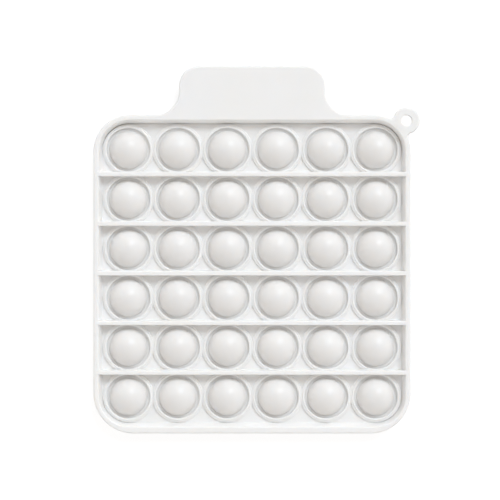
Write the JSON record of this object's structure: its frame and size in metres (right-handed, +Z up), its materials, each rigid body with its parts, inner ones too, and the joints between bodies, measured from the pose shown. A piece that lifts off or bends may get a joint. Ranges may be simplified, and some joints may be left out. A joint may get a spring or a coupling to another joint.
{
  "type": "push-and-pop bubble game board",
  "caption": "Square silicone game board with domed bubbles that pop through, ribs between their rows, a raised rim, a plain tab and a corner hanging loop.",
  "frame": {"origin": "centre of the bubble grid, on the plane that the board lies on", "axes": "+Z up through the bubbles, +Y towards the tab, +X towards the side with the hanging loop"},
  "size_m": [0.1307, 0.1471, 0.0094],
  "materials": {
    "white_silicone": "matte, slightly translucent silicone"
  },
  "bodies": {
    "board": {"rim_frame": "white_silicone", "top_tab": "white_silicone", "hanging_loop": "white_silicone", "row_rib_1": "white_silicone", "row_rib_2": "white_silicone", "row_rib_3": "white_silicone", "row_rib_4": "white_silicone", "row_rib_5": "white_silicone", "web_row_1": "white_silicone", "web_row_2": "white_silicone", "web_row_3": "white_silicone", "web_row_4": "white_silicone", "web_row_5": "white_silicone", "web_row_6": "white_silicone"},
    "bubble_1_1": {"bubble_1_1": "white_silicone"},
    "bubble_1_2": {"bubble_1_2": "white_silicone"},
    "bubble_1_3": {"bubble_1_3": "white_silicone"},
    "bubble_1_4": {"bubble_1_4": "white_silicone"},
    "bubble_1_5": {"bubble_1_5": "white_silicone"},
    "bubble_1_6": {"bubble_1_6": "white_silicone"},
    "bubble_2_1": {"bubble_2_1": "white_silicone"},
    "bubble_2_2": {"bubble_2_2": "white_silicone"},
    "bubble_2_3": {"bubble_2_3": "white_silicone"},
    "bubble_2_4": {"bubble_2_4": "white_silicone"},
    "bubble_2_5": {"bubble_2_5": "white_silicone"},
    "bubble_2_6": {"bubble_2_6": "white_silicone"},
    "bubble_3_1": {"bubble_3_1": "white_silicone"},
    "bubble_3_2": {"bubble_3_2": "white_silicone"},
    "bubble_3_3": {"bubble_3_3": "white_silicone"},
    "bubble_3_4": {"bubble_3_4": "white_silicone"},
    "bubble_3_5": {"bubble_3_5": "white_silicone"},
    "bubble_3_6": {"bubble_3_6": "white_silicone"},
    "bubble_4_1": {"bubble_4_1": "white_silicone"},
    "bubble_4_2": {"bubble_4_2": "white_silicone"},
    "bubble_4_3": {"bubble_4_3": "white_silicone"},
    "bubble_4_4": {"bubble_4_4": "white_silicone"},
    "bubble_4_5": {"bubble_4_5": "white_silicone"},
    "bubble_4_6": {"bubble_4_6": "white_silicone"},
    "bubble_5_1": {"bubble_5_1": "white_silicone"},
    "bubble_5_2": {"bubble_5_2": "white_silicone"},
    "bubble_5_3": {"bubble_5_3": "white_silicone"},
    "bubble_5_4": {"bubble_5_4": "white_silicone"},
    "bubble_5_5": {"bubble_5_5": "white_silicone"},
    "bubble_5_6": {"bubble_5_6": "white_silicone"},
    "bubble_6_1": {"bubble_6_1": "white_silicone"},
    "bubble_6_2": {"bubble_6_2": "white_silicone"},
    "bubble_6_3": {"bubble_6_3": "white_silicone"},
    "bubble_6_4": {"bubble_6_4": "white_silicone"},
    "bubble_6_5": {"bubble_6_5": "white_silicone"},
    "bubble_6_6": {"bubble_6_6": "white_silicone"}
  },
  "joints": [
    {"name": "pop_1_1", "type": "slide", "parent": "board", "child": "bubble_1_1", "axis": [0, 0, 1], "range_m": [-0.0139, 0]},
    {"name": "pop_1_2", "type": "slide", "parent": "board", "child": "bubble_1_2", "axis": [0, 0, 1], "range_m": [-0.0139, 0]},
    {"name": "pop_1_3", "type": "slide", "parent": "board", "child": "bubble_1_3", "axis": [0, 0, 1], "range_m": [-0.0139, 0]},
    {"name": "pop_1_4", "type": "slide", "parent": "board", "child": "bubble_1_4", "axis": [0, 0, 1], "range_m": [-0.0139, 0]},
    {"name": "pop_1_5", "type": "slide", "parent": "board", "child": "bubble_1_5", "axis": [0, 0, 1], "range_m": [-0.0139, 0]},
    {"name": "pop_1_6", "type": "slide", "parent": "board", "child": "bubble_1_6", "axis": [0, 0, 1], "range_m": [-0.0139, 0]},
    {"name": "pop_2_1", "type": "slide", "parent": "board", "child": "bubble_2_1", "axis": [0, 0, 1], "range_m": [-0.0139, 0]},
    {"name": "pop_2_2", "type": "slide", "parent": "board", "child": "bubble_2_2", "axis": [0, 0, 1], "range_m": [-0.0139, 0]},
    {"name": "pop_2_3", "type": "slide", "parent": "board", "child": "bubble_2_3", "axis": [0, 0, 1], "range_m": [-0.0139, 0]},
    {"name": "pop_2_4", "type": "slide", "parent": "board", "child": "bubble_2_4", "axis": [0, 0, 1], "range_m": [-0.0139, 0]},
    {"name": "pop_2_5", "type": "slide", "parent": "board", "child": "bubble_2_5", "axis": [0, 0, 1], "range_m": [-0.0139, 0]},
    {"name": "pop_2_6", "type": "slide", "parent": "board", "child": "bubble_2_6", "axis": [0, 0, 1], "range_m": [-0.0139, 0]},
    {"name": "pop_3_1", "type": "slide", "parent": "board", "child": "bubble_3_1", "axis": [0, 0, 1], "range_m": [-0.0139, 0]},
    {"name": "pop_3_2", "type": "slide", "parent": "board", "child": "bubble_3_2", "axis": [0, 0, 1], "range_m": [-0.0139, 0]},
    {"name": "pop_3_3", "type": "slide", "parent": "board", "child": "bubble_3_3", "axis": [0, 0, 1], "range_m": [-0.0139, 0]},
    {"name": "pop_3_4", "type": "slide", "parent": "board", "child": "bubble_3_4", "axis": [0, 0, 1], "range_m": [-0.0139, 0]},
    {"name": "pop_3_5", "type": "slide", "parent": "board", "child": "bubble_3_5", "axis": [0, 0, 1], "range_m": [-0.0139, 0]},
    {"name": "pop_3_6", "type": "slide", "parent": "board", "child": "bubble_3_6", "axis": [0, 0, 1], "range_m": [-0.0139, 0]},
    {"name": "pop_4_1", "type": "slide", "parent": "board", "child": "bubble_4_1", "axis": [0, 0, 1], "range_m": [-0.0139, 0]},
    {"name": "pop_4_2", "type": "slide", "parent": "board", "child": "bubble_4_2", "axis": [0, 0, 1], "range_m": [-0.0139, 0]},
    {"name": "pop_4_3", "type": "slide", "parent": "board", "child": "bubble_4_3", "axis": [0, 0, 1], "range_m": [-0.0139, 0]},
    {"name": "pop_4_4", "type": "slide", "parent": "board", "child": "bubble_4_4", "axis": [0, 0, 1], "range_m": [-0.0139, 0]},
    {"name": "pop_4_5", "type": "slide", "parent": "board", "child": "bubble_4_5", "axis": [0, 0, 1], "range_m": [-0.0139, 0]},
    {"name": "pop_4_6", "type": "slide", "parent": "board", "child": "bubble_4_6", "axis": [0, 0, 1], "range_m": [-0.0139, 0]},
    {"name": "pop_5_1", "type": "slide", "parent": "board", "child": "bubble_5_1", "axis": [0, 0, 1], "range_m": [-0.0139, 0]},
    {"name": "pop_5_2", "type": "slide", "parent": "board", "child": "bubble_5_2", "axis": [0, 0, 1], "range_m": [-0.0139, 0]},
    {"name": "pop_5_3", "type": "slide", "parent": "board", "child": "bubble_5_3", "axis": [0, 0, 1], "range_m": [-0.0139, 0]},
    {"name": "pop_5_4", "type": "slide", "parent": "board", "child": "bubble_5_4", "axis": [0, 0, 1], "range_m": [-0.0139, 0]},
    {"name": "pop_5_5", "type": "slide", "parent": "board", "child": "bubble_5_5", "axis": [0, 0, 1], "range_m": [-0.0139, 0]},
    {"name": "pop_5_6", "type": "slide", "parent": "board", "child": "bubble_5_6", "axis": [0, 0, 1], "range_m": [-0.0139, 0]},
    {"name": "pop_6_1", "type": "slide", "parent": "board", "child": "bubble_6_1", "axis": [0, 0, 1], "range_m": [-0.0139, 0]},
    {"name": "pop_6_2", "type": "slide", "parent": "board", "child": "bubble_6_2", "axis": [0, 0, 1], "range_m": [-0.0139, 0]},
    {"name": "pop_6_3", "type": "slide", "parent": "board", "child": "bubble_6_3", "axis": [0, 0, 1], "range_m": [-0.0139, 0]},
    {"name": "pop_6_4", "type": "slide", "parent": "board", "child": "bubble_6_4", "axis": [0, 0, 1], "range_m": [-0.0139, 0]},
    {"name": "pop_6_5", "type": "slide", "parent": "board", "child": "bubble_6_5", "axis": [0, 0, 1], "range_m": [-0.0139, 0]},
    {"name": "pop_6_6", "type": "slide", "parent": "board", "child": "bubble_6_6", "axis": [0, 0, 1], "range_m": [-0.0139, 0]}
  ]
}
